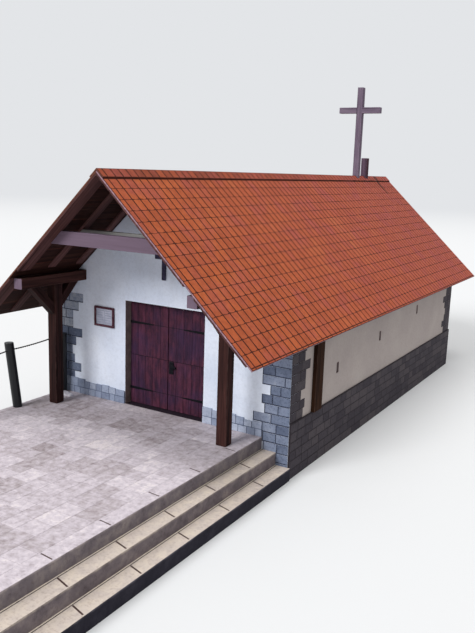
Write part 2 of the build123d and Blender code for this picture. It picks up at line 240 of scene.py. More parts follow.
def paint_tiles(tree, place):
    shade = add(tree, "Attribute", attribute_name="shade").outputs["Fac"]
    orange = add(tree, "ValToRGB", {"Fac": shade}, {
        0.0: "#813f2c", 0.3: "#9f4e2f", 0.7: "#b05932", 1.0: "#b6663a"})
    # The print drifts from orange at the porch to a pinker red at the back, and is pinker in patches.
    back = add(tree, "SeparateXYZ", {"Vector": place}).outputs["Y"]
    drift = add(tree, "MapRange", {"Value": back, "From Min": -0.045, "From Max": 0.10, "To Max": 0.65})
    batches = add(tree, "TexNoise", {"Vector": place, "Scale": per(6), "Detail": 2.0})
    batch = add(tree, "MapRange", {"Value": batches, "From Min": 0.48, "From Max": 0.70, "To Max": 0.55})
    pinker = add(tree, "Math", {0: drift, 1: batch}, operation="ADD", use_clamp=True)
    pink = add(tree, "Mix", {0: pinker, 6: orange, 7: "#a35148"}, data_type="RGBA")
    clouds = add(tree, "TexNoise", {"Vector": place, "Scale": per(1.3), "Detail": 5.0, "Roughness": 0.75})
    cloudy = add(tree, "ValToRGB", {"Fac": clouds}, {0.30: "#c9b7ad", 0.60: WHITE})
    baked = add(tree, "Mix", {0: 0.62, 6: pink, 7: cloudy}, **MULTIPLY)
    return on_card(tree, place, baked, 0.72, 0.02, clouds)


def paint_soffit(tree, place):
    run = add(tree, "Mapping", {"Vector": place, "Scale": (1, 0.06, 1)})
    streaks = add(tree, "TexNoise", {"Vector": run, "Scale": per(0.9), "Detail": 5.0, "Roughness": 0.65})
    toned = add(tree, "ValToRGB", {"Fac": streaks}, {0.3: "#1c100f", 0.5: "#2d1916", 0.75: "#422a22"})
    shade = add(tree, "Attribute", attribute_name="shade").outputs["Fac"]
    own = add(tree, "MapRange", {"Value": shade, "To Min": 0.78, "To Max": 1.15})
    boards = add(tree, "Mix", {0: 1.0, 6: toned, 7: own}, **MULTIPLY)
    return on_card(tree, place, boards, 0.75, 0.02, streaks)


def paint_black_post(tree, place):
    place = add(tree, "Attribute", attribute_name="grain").outputs["Vector"]
    drawn = add(tree, "Mapping", {"Vector": place, "Scale": (0.08, 1, 1)})
    fibres = add(tree, "TexNoise", {"Vector": drawn, "Scale": per(0.5), "Detail": 4.0, "Roughness": 0.7})
    toned = add(tree, "ValToRGB", {"Fac": fibres}, {0.3: "#07080c", 0.6: "#0e1015", 0.8: "#191c22"})
    fold = add(tree, "Attribute", attribute_name="fold").outputs["Fac"]
    rubbed = add(tree, "Math", {0: fold, 1: 0.5}, operation="MULTIPLY")
    edged = add(tree, "Mix", {0: rubbed, 6: toned, 7: "#3b3735"}, data_type="RGBA")
    gloss = add(tree, "MapRange", {
        "Value": fibres, "From Min": 0.3, "From Max": 0.7, "To Min": 0.34, "To Max": 0.5})
    return {**on_card(tree, place, edged, gloss, 0.012, fibres), "Coat Weight": 0.12, "Coat Roughness": 0.15}


def paint_door(tree, place):
    along = add(tree, "Attribute", attribute_name="grain").outputs["Vector"]
    drawn = add(tree, "Mapping", {"Vector": along, "Scale": (0.42, 1, 1)})
    blots = add(tree, "TexNoise", {"Vector": drawn, "Scale": per(1.5), "Detail": 5.0, "Roughness": 0.7})
    shade = add(tree, "Attribute", attribute_name="shade").outputs["Fac"]
    own = add(tree, "MapRange", {"Value": shade, "To Min": -0.05, "To Max": 0.05})
    level = add(tree, "Math", {0: blots, 1: own}, operation="ADD")
    red = add(tree, "ValToRGB", {"Fac": level}, {
        0.30: "#2b192c", 0.45: "#3d2033", 0.58: "#4e2738", 0.75: "#5f3045"})
    # Here and there the red print goes over into violet in patches, made bluer by painted blue shade.
    faded = add(tree, "TexNoise", {"Vector": place, "Scale": per(7), "Detail": 2.0})
    turned = add(tree, "MapRange", {"Value": faded, "From Min": 0.45, "From Max": 0.70, "To Max": 0.6})
    violet = add(tree, "Mix", {0: turned, 6: red, 7: "#3a2847"}, data_type="RGBA")
    thin = add(tree, "Mapping", {"Vector": along, "Scale": (0.05, 1, 1)})
    grain = add(tree, "TexNoise", {"Vector": thin, "Scale": per(0.4), "Detail": 3.0})
    lined = add(tree, "ValToRGB", {"Fac": grain}, {0.36: "#76687a", 0.56: WHITE})
    printed = add(tree, "Mix", {0: 0.42, 6: violet, 7: lined}, **MULTIPLY)
    return on_card(tree, place, printed, 0.7, 0.015, blots)


# White render printed on card, one white for all walls. On the porch front it has a cool blue cast of painted
# blue sky light; on the long sides and the back it is duller and warmer, as painted shade.
porch_plaster_painted_skylight = plaster_print("plaster_painted_blue_skylight", "#dde4f2", "#ced7e8", "#e9eef7")
side_plaster_painted_shade = plaster_print("plaster_painted_shade", "#a99f9b", "#9f9592", "#b1a8a4", 0.05)
# The thickness of the door opening and of the slits, printed: dull brown.
reveal = cloud_print("reveal_print", 2.5, {0.3: "#665a5b", 0.7: "#8b7b78"}, 0.85, 0.02, torn=0.65)
# The threshold is nearly black, with a violet cast.
threshold_dark = stone_print("nearly_black_threshold", {0: "#2b212b", 1: "#3b2e3a"}, "#8a8386")
# The slits are closed behind with dull grey paper.
slit_paper = stone_print("slit_paper_print", {0: "#4d464b", 1: "#6c656c"}, "#a39ca0")
# Squared rubble, printed: brown-grey, with dark mortar between the stones.
plinth_stone = stone_print("rubble_stone_print", {0: "#38333a", 0.5: "#413c42", 1: "#4c464a"}, "#8f8688")
mortar = stone_print("dark_mortar_print", {0: "#302b30", 1: "#3b3539"}, "#8a8386")
# Dressed corner stones, printed over darker printed shadows, paler than the rubble. Their slate blue-grey is
# a painted cast of blue sky light on the porch front.
QUOIN_STOPS = {0: "#555e74", 0.4: "#6c768c", 0.75: "#858ea3", 1: "#a3a8b3"}
quoin_stone = stone_print("corner_stone_painted_skylight", QUOIN_STOPS, "#8d8f9c")
quoin_line = stone_print("stone_shadow_print", {0: "#282d3f", 1: "#3b4154"}, "#b0b0b8")
# The dado's stones and their shadows are printed paler and softer, in a blue-grey that is a painted cast of
# blue sky light.
dado_stone = stone_print("dado_stone_print", {0: "#7b859b", 0.5: "#909ab0", 1: "#b4bccd"}, "#c2c4ce")
dado_line = stone_print("dado_shadow_print", {0: "#545d73", 1: "#687288"}, "#b0b0b8")
# Pale paving, printed: lilac-grey setts, mottled with cream and browner patches.
PAVING_STOPS = {0: "#918688", 0.3: "#ada3a7", 0.6: "#c1b8bf", 0.85: "#cfc6cc", 1: "#dad1d3"}
paving = stone_print("paving_print", PAVING_STOPS, "#c2b9bd", 0.42, 1.5)
paving_line = stone_print("paving_joint_print", {0: "#a49ba3", 1: "#b9b0b7"}, "#b8b0b8")
# Treads, printed: warm cream, cloudy.
tread_stone = stone_print("tread_print", {0: "#aa9f9b", 0.5: "#c2b6ad", 1: "#d4c7b6"}, "#cfc4bb", 0.38)
# Risers, printed: blotched brown-grey, their upper edges rubbed to cream.
RISER_STOPS = {0: "#554d52", 0.5: "#6f666a", 1: "#8d8281"}
riser_stone = stone_print("riser_print", RISER_STOPS, "#bdb3af", 0.5, 3.2, "#b3a79c", UPPER_STEP)
EDGE_STOPS = {0: "#5a5259", 0.5: "#746c70", 1: "#918784"}
edge_stone = stone_print("edge_print", EDGE_STOPS, "#bdb3af", 0.5, 3.2, "#aca1a0", DECK)
# The lowest riser is almost black.
FOOT_STOPS = {0: "#191822", 0.5: "#25232d", 1: "#34323b"}
foot_stone = stone_print("almost_black_foot_riser", FOOT_STOPS, "#a8a4b0", 0.4, 3.2, "#5f5c66", LOWER_STEP)
# Joints across the slabs, printed: thick brown strokes.
joint_ink = stone_print("joint_ink_print", {0: "#493836", 1: "#604d49"}, "#8a7f7c")
# Clay tiles, printed: orange, every tile a little lighter, redder or pinker, on dark brown joints.
tile = surface("clay_tile_print", paint_tiles)
JOINT_STOPS = {0.35: "#3a1911", 0.65: "#54261b"}
tile_joint = cloud_print("tile_joint_print", 3, JOINT_STOPS, 0.8, 0.02, 3.0, 0.5, raised=False)
# At the joint in the cap, the right card has a brown smudge.
smudge_brown = stone_print("cap_joint_smudge", {0: "#4a2926", 1: "#63362f"}, "#c9a89f", 0.4)
# The cut edge of grey card: dull lilac, with torn fibres. The left rake is printed brown instead.
card_edge = cloud_print("cut_card_edge", 0.9, {0.32: "#6f5661", 0.5: "#8f727d", 0.7: "#b0929b"}, 0.88, 0.03)
rake_print = cloud_print("brown_rake_print", 1.2, {0.3: "#4c2d24", 0.7: "#74493a"}, 0.85, 0.03)
# Sawn boards under the roof, printed: dark brown.
soffit = surface("soffit_board_print", paint_soffit, 0.05)
# Stained oak, printed: nearly black brown with a red cast, its folds a little rubbed.
dark_timber = timber_print("stained_oak_print", "#1d1111", "#36201e", "#51332e")
# The strips on the side walls are printed darker and browner, as painted shade of the side walls. The rafters
# are redder and paler, partly their own print and partly painted reddish light bounced up from below.
strip_timber_painted_shade = timber_print("side_strip_painted_shade", "#160d0a", "#2b1b14", "#3f2a1f", gleam=0.02)
rafter_timber_painted_bounce = timber_print("rafter_painted_bounce_light", "#32201f", "#523635", "#6c4c49")
# Weathered oak, printed: a flat lilac grey.
pale_timber = timber_print("weathered_oak_print", "#61525f", "#6a5a69", "#746573", 2.2, 0.15, "#85778a")
# The tie next to the wall is a pale grey with an olive cast.
middle_tie_timber = timber_print("pale_olive_grey_tie", "#716f70", "#7c7b7a", "#8b8a86", 1.8, 0.2, "#989894")
# Painted pine door boards, printed: blotched maroon and purple, the whole made darker and more violet as
# painted blue shade.
door_boards_painted_shade = surface("maroon_pine_painted_blue_shade", paint_door)
# Brown hardwood moulding, printed, made darker and more purple as painted blue shade.
frame_timber = timber_print("moulding_painted_blue_shade", "#361f28", "#4e2d38", "#64424c", 0.6, worn="#80626a")
# Stained strip wood: mauve brown, its grain fine and straight.
cross_timber = timber_print("stained_strip_wood", "#514453", "#645768", "#796c7c", 0.6, 0.5, "#8d7f92")
# The little post beside the cross is of the same wood, its right side dark wine.
stub_timber = timber_print("stained_offcut", "#4e3f4c", "#635061", "#776574", 0.6, 0.5, "#857282")
stub_side = timber_print("offcut_dark_right_side", "#331f27", "#472c38", "#583c48", 0.6, 0.5, "#6a4e59")
# Wrought iron under black paint: satin, pitted. The cross over the door is the same iron made a lighter,
# bluer grey: painted light against the porch roof's shade, with a painted cast of blue sky light.
iron = iron_print("black_wrought_iron", "#07070c", "#101018", "#2c2a34")
cross_iron_painted_light = iron_print("wrought_iron_painted_blue_light", "#27243a", "#3b3751", "#525068")
# Painted hardwood dowel: glossy black, brushed along its length.
black_post = surface("black_painted_dowel", paint_black_post, 0.3)
# Waxed cotton thread, twisted: dark grey, with a faint sheen of loose fibres.
THREAD_STOPS = {0.3: "#1d1a1a", 0.55: "#353031", 0.8: "#575050"}
thread = cloud_print("waxed_thread", 0.25, THREAD_STOPS, 0.9, 0.03, 3.0, sheen=0.15)
# Plain writing paper: smooth, a cool grey white.
PAPER_STOPS = {0.35: "#a3a6b9", 0.65: "#bdc0d0"}
paper = cloud_print("writing_paper", 1.4, PAPER_STOPS, 0.8, 0.01, torn=0.5, raised=False)
# White glue, dried: milky, a little glossy.
GLUE_STOPS = {0.35: "#bdb9c4", 0.65: "#dedbe2"}
glue = cloud_print("dried_white_glue", 1.2, GLUE_STOPS, 0.38, 0.04, 3.0, 0.5, gleam=0.5)


# Making pieces

def new_sheet():
    """An empty mesh in the making, with a shade for every face."""
    bm = bmesh.new()
    bm.faces.layers.float.new("shade")
    return bm


def finish_piece(bm, name, materials, body=BODY, stands_for=()):
    """The mesh as a piece that rides on its body, and stands for its CAD nodes."""
    mesh = bpy.data.meshes.new(name)
    bm.to_mesh(mesh)
    bm.free()
    for material in materials:
        mesh.materials.append(material)
    piece = bpy.data.objects.new(name, mesh)
    bpy.context.collection.objects.link(piece)
    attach(piece, body)
    if stands_for:
        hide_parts(*stands_for)


def both(name):
    """The left and the right CAD node of a pair."""
    return [f"{name}_left", f"{name}_right"]


def lay(bm, low, high, shade, index=0):
    """One stone, board or slab between two corners in mm, with its own shade of the print."""
    low, high = Vector(low), Vector(high)
    stretch = Matrix.Diagonal((*((high - low) * MM), 1))
    made = bmesh.ops.create_cube(bm, size=1, matrix=Matrix.Translation((low + high) / 2 * MM) @ stretch)
    layer = bm.faces.layers.float["shade"]
    for vert in made["verts"]:
        for face in vert.link_faces:
            face[layer] = shade
            face.material_index = index
    return made["verts"]


def sharp(bm, angle=0.5):
    """The edges at which faces turn by more than an angle."""
    return [edge for edge in bm.edges if edge.calc_face_angle(0) > angle]


def soften(bm, size, edges=None, segments=1):
    """Bevels edges by size mm and marks the new faces as folds."""
    fold = bm.faces.layers.float.get("fold") or bm.faces.layers.float.new("fold")
    edges = bm.edges[:] if edges is None else edges
    cut = bmesh.ops.bevel(bm, geom=edges, offset=size * MM, offset_type="OFFSET", affect="EDGES",
                          segments=segments, profile=0.5, material=-1, clamp_overlap=True)
    for face in cut["faces"]:
        face[fold] = 1.0


def cut_through(bm, place, way, clear=True):
    """Cuts everything at a place in mm, square to way. Where it clears, what lies beyond is closed off."""
    everything = [*bm.verts, *bm.edges, *bm.faces]
    bmesh.ops.bisect_plane(bm, geom=everything, plane_co=place * MM, plane_no=way, clear_outer=clear)
    if clear:
        bmesh.ops.holes_fill(bm, edges=[edge for edge in bm.edges if edge.is_boundary])


def solids(bm):
    """The faces of each separate solid, in the mesh's own order."""
    bm.faces.ensure_lookup_table()
    bm.faces.index_update()
    seen = [False] * len(bm.faces)
    found = []
    for face in bm.faces:
        if seen[face.index]:
            continue
        seen[face.index] = True
        group, waiting = [], [face]
        while waiting:
            here = waiting.pop()
            group.append(here)
            for edge in here.edges:
                for other in edge.link_faces:
                    if not seen[other.index]:
                        seen[other.index] = True
                        waiting.append(other)
        found.append(group)
    return found


def run_grain(bm, direction_of=None):
    """Gives every solid grain whose x runs along its longest edge, and its own shade and start."""
    grain = bm.loops.layers.float_vector.new("grain")
    shade = bm.faces.layers.float["shade"]
    for group in solids(bm):
        longest = max((edge for face in group for edge in face.edges), key=lambda edge: edge.calc_length())
        along = (longest.verts[1].co - longest.verts[0].co).normalized()
        start = Vector((chance.random(), chance.random(), chance.random()))
        tone = chance.random()
        for face in group:
            way = direction_of(face) if direction_of else along
            turn = way.rotation_difference(TO_RIGHT).to_matrix()
            face[shade] = tone
            for loop in face.loops:
                loop[grain] = turn @ loop.vert.co + start


def cad_copy(*names):
    """CAD nodes as one mesh, merged, with its flat faces whole."""
    bm = new_sheet()
    for name in names:
        bm.from_mesh(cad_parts[name].data)
    bmesh.ops.remove_doubles(bm, verts=bm.verts[:], dist=0.002 * MM)
    bmesh.ops.dissolve_limit(bm, angle_limit=math.radians(1), verts=bm.verts[:], edges=bm.edges[:])
    return bm


def two_prints(name, nodes, prints, second):
    """CAD nodes with the second print on the faces that second picks."""
    bm = cad_copy(*nodes)
    for face in bm.faces:
        face.material_index = 1 if second(face) else 0
        face[bm.faces.layers.float["shade"]] = 0.5
    finish_piece(bm, name, prints, stands_for=nodes)


# Roof: two cards and a folded cap, printed with a grid of tiles

TILE_PITCH = 2.6
FIRST_JOINT = 1.6
NARROWEST_TILE = 0.3
COURSE = 3.207
LAST_COURSE = 53.5
FULL_COURSES = 15
TILE_RELIEF = 0.06
JOINT_WIDTH = 0.42
COURSE_LINE = 0.3
TILE_SAG = (0.13, 0.2)
ODD_TILES = 0.12
TILE_TONE = 0.6
CAP_TONE = 0.12
CAP_SHADOW = 2.54
EDGE_STOP = 0.04
BOARD_WIDTH = 5.4
BOARD_JOINT = 0.09
BOARD_RELIEF = 0.04
TILES, JOINTS, EDGES, BOARDS = range(4)


def down_slope(side):
    """The way down the roof's left or right side."""
    return Vector((side * math.cos(PITCH), 0, -math.sin(PITCH)))


def off_slope(side):
    """The way straight up off the roof's left or right side."""
    return Vector((side * math.sin(PITCH), 0, math.cos(PITCH)))


def columns(start, end):
    """The joints along the ridge between two places."""
    places = [start]
    place = ROOF_LOW.y + FIRST_JOINT
    while place < end - NARROWEST_TILE:
        if place > start + NARROWEST_TILE:
            places.append(place)
        place += TILE_PITCH
    return [*places, end]


def board_underside(bm, top, down, length):
    """Divides a card's underside into boards along the ridge, each of its own shade, with dark joints."""
    def underside():
        return [face for face in bm.faces if face.material_index == BOARDS]

    place = BOARD_WIDTH
    while place < length - 1:
        boards = underside()
        borders = dict.fromkeys(edge for board in boards for edge in board.edges)
        seam = (top + down * place) * MM
        bmesh.ops.bisect_plane(bm, geom=[*boards, *borders], plane_co=seam, plane_no=down)
        place += BOARD_WIDTH
    boards = underside()
    for board in boards:
        board[bm.faces.layers.float["shade"]] = chance.random()
    bmesh.ops.inset_individual(
        bm, faces=boards, thickness=BOARD_JOINT * MM, depth=BOARD_RELIEF * MM, use_even_offset=True)
    for face in set(underside()).difference(boards):
        face.material_index = JOINTS


def tiled_card(side, start, end, courses, top, thickness, tone, foot_print, boarded=False):
    """A card of tiles from the ridge down one side: relief tiles on top, cut edges, boards below."""
    bm = new_sheet()
    shade = bm.faces.layers.float["shade"]
    across = columns(start, end)
    # The grid is stretched down the slope while its joints are inset, so that the courses' lines are thinner.
    stretch = JOINT_WIDTH / COURSE_LINE
    cells = (len(across) - 1, len(courses) - 1)
    bmesh.ops.create_grid(bm, x_segments=cells[0], y_segments=cells[1], size=0.5)
    for vert in bm.verts:
        column = round((vert.co.x + 0.5) * cells[0])
        row = round((vert.co.y + 0.5) * cells[1])
        vert.co = Vector((across[column], courses[row] * stretch, -TILE_RELIEF))
    tiles = bm.faces[:]
    for face in tiles:
        middle = face.calc_center_median()
        drift = noise.noise(Vector((middle.x / 14, middle.y / 14, side * 5.0)))
        odd = chance.uniform(-0.3, 0.3) if chance.random() < ODD_TILES else chance.uniform(-0.13, 0.13)
        face[shade] = min(max(tone + 0.22 * drift + odd, 0), 1)
    bmesh.ops.inset_individual(
        bm, faces=tiles, thickness=JOINT_WIDTH / 2, depth=TILE_RELIEF, use_even_offset=True)
    inner = set(tiles)
    for face in bm.faces:
        # Under the cap's edge a dark strip of joint colour is painted: the cap's painted shadow.
        in_cap_shadow = boarded and face.calc_center_median().y < CAP_SHADOW * stretch
        face.material_index = TILES if face in inner and not in_cap_shadow else JOINTS
    # Every tile's lower edge hangs a little, but not past the eave.
    hanging = []
    for face in tiles:
        lowest = max(vert.co.y for vert in face.verts)
        if lowest < (courses[-1] - 1) * stretch:
            hanging += [edge for edge in face.edges if all(vert.co.y > lowest - 0.01 for vert in edge.verts)]
    cut = bmesh.ops.subdivide_edges(bm, edges=hanging, cuts=2)
    for vert in [item for item in cut["geom_inner"] if isinstance(item, bmesh.types.BMVert)]:
        vert.co.y += chance.uniform(*TILE_SAG) * stretch
    walls = bmesh.ops.extrude_edge_only(bm, edges=[edge for edge in bm.edges if edge.is_boundary])["geom"]
    lower = {item for item in walls if isinstance(item, bmesh.types.BMVert)}
    for vert in lower:
        vert.co.z = -thickness + EDGE_STOP
        if vert.co.y < 0.001:
            vert.co.y = (thickness - EDGE_STOP) * SLOPE * stretch
    for face in [item for item in walls if isinstance(item, bmesh.types.BMFace)]:
        face.material_index = EDGES
    rim = [item for item in walls if isinstance(item, bmesh.types.BMEdge) and lower.issuperset(item.verts)]
    for face in bmesh.ops.edgeloop_fill(bm, edges=rim)["faces"]:
        face.material_index = BOARDS
    down, out = down_slope(side), off_slope(side)
    for vert in bm.verts:
        vert.co = (top + down * (vert.co.y / stretch) + out * vert.co.z + Vector((0, vert.co.x, 0))) * MM
    bmesh.ops.recalc_face_normals(bm, faces=bm.faces[:])
    foot = top + down * courses[-1]
    for face in bm.faces:
        at_foot = face.normal.dot(down) > 0.9 and (face.calc_center_median() / MM - foot).dot(down) > -0.2
        if face.material_index == EDGES and at_foot:
            face.material_index = foot_print
    if boarded:
        board_underside(bm, top, down, courses[-1])
    return bm


roof_courses = [0, CAP_SHADOW, *(LAST_COURSE - COURSE * k for k in range(FULL_COURSES, -1, -1)), SLOPE_LENGTH]
for name, side, edge_print in (("left", -1, rake_print), ("right", 1, card_edge)):
    card = tiled_card(side, ROOF_LOW.y, ROOF_HIGH.y, roof_courses, RIDGE, ROOF_CARD, TILE_TONE, EDGES, True)
    prints = [tile, tile_joint, edge_print, soffit]
    finish_piece(card, f"roof_card_{name}", prints, stands_for=[f"roof_panel_{name}"])

for name in ("ridge_cap", "ridge_cap_end"):
    low, high = span(name)
    cap = new_sheet()
    for side in (-1, 1):
        top = Vector((0, 0, high.z))
        # The cap's lower cut edges take the dark joint colour: a painted shadow line along its foot.
        half = tiled_card(side, low.y, high.y, [0, CAP_LENGTH], top, CAP_CARD, CAP_TONE, JOINTS)
        part = bpy.data.meshes.new("half")
        half.to_mesh(part)
        half.free()
        cap.from_mesh(part)
        bpy.data.meshes.remove(part)
    finish_piece(cap, f"{name}_fold", [tile, tile_joint, rake_print, soffit], stands_for=[name])

# A brown smudge runs from the joint in the cap a little way down the right card. Its two stretches,
# each with the level of its ridge, its start and end down the slope, its width and the share left at its tip
SMUDGE = ((CAP_END_HIGH.z, 0.25, CAP_LENGTH - 0.05, 2.2, 1.0), (ROOF_HIGH.z, CAP_LENGTH, 9.0, 1.8, 0.3))
smudge = new_sheet()
for level, start, end, wide, tip in SMUDGE:
    verts = lay(smudge, (start, -wide / 2, -0.01), (end, wide / 2, 0.02), 0.5)
    for vert in verts:
        if vert.co.x / MM > (start + end) / 2:
            vert.co.y *= tip
    ridge = Matrix.Translation(Vector((0, CAP_END_LOW.y, level)) * MM)
    bmesh.ops.transform(smudge, verts=verts, matrix=ridge @ Matrix.Rotation(PITCH, 4, "Y"))
finish_piece(smudge, "roof_smudge", [smudge_brown])


# Timber of folded card

CREASE = 0.12
FINE_CREASE = 0.06
RAFTER_SETBACK = 1.5
POST_HALF = 1.05


def folded_timber(name, nodes, material, crease=CREASE, ends=None, setback=0.0):
    """Timber of folded card: the CAD solids with softened folds and grain, their ends of another print."""
    bm = cad_copy(*nodes)
    if setback:
        # Rafters end out of sight behind the edges of the roof's cards.
        for side in (-1, 1):
            down = down_slope(side)
            cut_through(bm, RIDGE + down * (SLOPE_LENGTH - setback), down)
    soften(bm, crease, segments=2)
    run_grain(bm)
    materials = [material]
    if ends:
        materials.append(ends[0])
        for face in bm.faces:
            if face.normal.dot(ends[1]) > 0.9:
                face.material_index = 1
    finish_piece(bm, name, materials, stands_for=nodes)


# The rafters' redder, paler print is partly painted bounce light.
for end in ("porch", "rear"):
    folded_timber(f"{end}_rafter_cards", both(f"{end}_rafters"), rafter_timber_painted_bounce, FINE_CREASE,
                  setback=RAFTER_SETBACK)
folded_timber("front_tie", ["front_tie_beam"], pale_timber)
folded_timber("middle_tie", ["middle_tie_beam"], middle_tie_timber)
folded_timber("purlin_boxes", both("porch_purlin"), dark_timber, ends=(pale_timber, TO_FRONT))
folded_timber("post_boxes", both("porch_post"), dark_timber)
folded_timber("brace_boxes", both("porch_braces"), dark_timber)
# The side strips are made darker as painted shade.
folded_timber("side_pilasters", ["left_pilaster", "right_pilaster"], strip_timber_painted_shade)
folded_timber("ridge_stub", ["ridge_post"], stub_timber, ends=(stub_side, TO_RIGHT))
folded_timber("board_frame", ["notice_board_frame"], frame_timber, 0.08)


def cross_grain(face):
    """Grain along the arms of the ridge cross, and up its post."""
    return TO_RIGHT if abs(face.calc_center_median().x) > (POST_HALF + 0.01) * MM else UP


cross = cad_copy("ridge_cross")
for edge_x in (-POST_HALF, POST_HALF):
    cut_through(cross, Vector((edge_x, 0, 0)), TO_RIGHT, clear=False)
soften(cross, CREASE, sharp(cross), segments=2)
run_grain(cross, cross_grain)
finish_piece(cross, "ridge_cross_strips", [cross_timber], stands_for=["ridge_cross"])

# The gable cross takes the iron with painted light.
wall_cross = cad_copy("wall_cross")
soften(wall_cross, 0.1, sharp(wall_cross), segments=2)
finish_piece(wall_cross, "gable_cross", [cross_iron_painted_light], stands_for=["wall_cross"])


# Terrace and steps

EDGE_SLAB = 3.4
SLAB_LENGTH = 13.75
FIRST_SLAB = 11.2
SETT = 4.3
SETT_LENGTHS = (2.4, 5.6)
SMALLEST_REST = 1.5
SETT_GAP = 0.03
PRINT_RELIEF = 0.05
SLAB_INK = 0.26
TREAD_INK = 0.34
TREAD_JOINT = 10.35
FINE_BEVEL = 0.03


def level_face(face):
    return face.normal.z > 0.9


for box, name, prints in (("terrace", "terrace_box", [edge_stone, paving_line]),
                          ("step_2", "upper_step_box", [riser_stone, mortar]),
                          ("step_1", "lower_step_box", [foot_stone, mortar])):
    two_prints(name, [box], prints, level_face)


def slab_breaks():
    """The joints across the steps and the terrace's edge, from the wall to the front."""
    places = [FRONT]
    place = FRONT - FIRST_SLAB
    while place > TERRACE_LOW.y + 1:
        places.append(place)
        place -= SLAB_LENGTH
    return [*places, TERRACE_LOW.y]


def ink(bm, start, end, wide):
    """A printed joint line from start to end on a level face, wide mm across."""
    start, end = Vector(start), Vector(end)
    run = end - start
    turn = Matrix.Rotation(math.atan2(run.y, run.x), 4, "Z")
    shape = Matrix.Diagonal((run.length * MM, wide * MM, 0.02 * MM, 1))
    bmesh.ops.create_cube(bm, size=1, matrix=Matrix.Translation((start + end) / 2 * MM) @ turn @ shape)


setts = new_sheet()
inked = new_sheet()
breaks = slab_breaks()
column = TERRACE_HIGH.x - EDGE_SLAB
level = DECK + PRINT_RELIEF
for back, front in zip(breaks, breaks[1:]):
    low = (column, front + SETT_GAP, DECK)
    lay(setts, low, (TERRACE_HIGH.x, back - SETT_GAP, level), chance.uniform(0.5, 0.72))
    if front > TERRACE_LOW.y:
        start = (column + 0.3, front + 0.15, level)
        ink(inked, start, (TERRACE_HIGH.x - 0.35, front - 0.15, level), SLAB_INK)
while column > TERRACE_LOW.x + 1:
    wide = SETT * chance.uniform(0.85, 1.15)
    inner = max(column - wide, TERRACE_LOW.x)
    if inner - TERRACE_LOW.x < SMALLEST_REST:
        inner = TERRACE_LOW.x
    place = FRONT
    while place > TERRACE_LOW.y:
        long = chance.uniform(*SETT_LENGTHS)
        near = max(place - long, TERRACE_LOW.y)
        if near - TERRACE_LOW.y < SMALLEST_REST:
            near = TERRACE_LOW.y
        middle = Vector(((column + inner) / 2, (place + near) / 2, 0))
        tone = 0.56 + 0.5 * noise.noise(middle / 13) + chance.uniform(-0.19, 0.19)
        low = (inner + SETT_GAP, near + SETT_GAP, DECK)
        lay(setts, low, (column - SETT_GAP, place - SETT_GAP, level), min(max(tone, 0), 1))
        place = near
    column = inner
soften(setts, FINE_BEVEL)
finish_piece(setts, "terrace_setts", [paving])

# The joints across the treads are printed a little askew, further to the front at their outer ends.
treads = new_sheet()
beads = new_sheet()
for number in (1, 2):
    low, high = span(f"step_{number}")
    top = high.z + PRINT_RELIEF
    lay(treads, (low.x + 0.42, TERRACE_LOW.y, high.z), (high.x, FRONT, top), 0.55)
    lay(beads, (low.x, TERRACE_LOW.y, high.z), (low.x + 0.26, FRONT, high.z + 0.1), 0.8)
    place = FRONT - TREAD_JOINT - 0.7 * (2 - number)
    while place > TERRACE_LOW.y + 1:
        ink(inked, (low.x + 0.5, place, top), (high.x - 0.3, place - 0.9, top), TREAD_INK)
        place -= SLAB_LENGTH + 0.2
soften(treads, FINE_BEVEL)
finish_piece(treads, "step_treads", [tread_stone])
soften(beads, 0.05)
finish_piece(beads, "tread_beads", [tread_stone])
finish_piece(inked, "printed_joints", [joint_ink])


# Stones of the plinth and the corners

STONE_ROW = 2.275
STONE_RELIEF = 0.06
STONE_LENGTHS = (3.0, 6.5)
STONE_GAP = 0.11
PLINTH_SKIN = 0.4
PLINTH_ROWS = [0, 2.3, 4.5, 6.7, 8.9, 11.15, PLINTH_TOP]


def stone_row(bm, start, end, low, high, place):
    """One row of rubble stones: place turns the two ends and levels of each into its corners."""
    shortest, longest = STONE_LENGTHS
    spot = start
    while spot < end - 0.01:
        long = chance.uniform(shortest, longest)
        stop = end if end - spot - long < shortest * 0.6 else min(spot + long, end)
        top = high - chance.uniform(0.0, 0.12)
        lay(bm, *place(spot + STONE_GAP, stop - STONE_GAP, low + STONE_GAP, top - STONE_GAP), chance.random())
        spot = stop


def outward(x, out):
    """Places stones on a side face at x that looks along out."""
    def place(start, stop, low, high):
        near, far = sorted((x, x + out * STONE_RELIEF))
        return (near, start, low), (far, stop, high)
    return place


def frontward(y, out):
    """Places stones on a face across the hall at y that looks along out."""
    def place(start, stop, low, high):
        near, far = sorted((y, y + out * STONE_RELIEF))
        return (start, near, low), (stop, far, high)
    return place


rubble = new_sheet()
for side in (-1, 1):
    for low, high in zip(PLINTH_ROWS, PLINTH_ROWS[1:]):
        stone_row(rubble, FRONT, BACK, low, high, outward(side * (HALF + PLINTH_SKIN), side))
for low, high in zip(PLINTH_ROWS, PLINTH_ROWS[1:]):
    stone_row(rubble, -HALF, HALF, low, high, frontward(BACK + PLINTH_SKIN, 1))
soften(rubble, 0.035)
finish_piece(rubble, "plinth_stones", [plinth_stone])

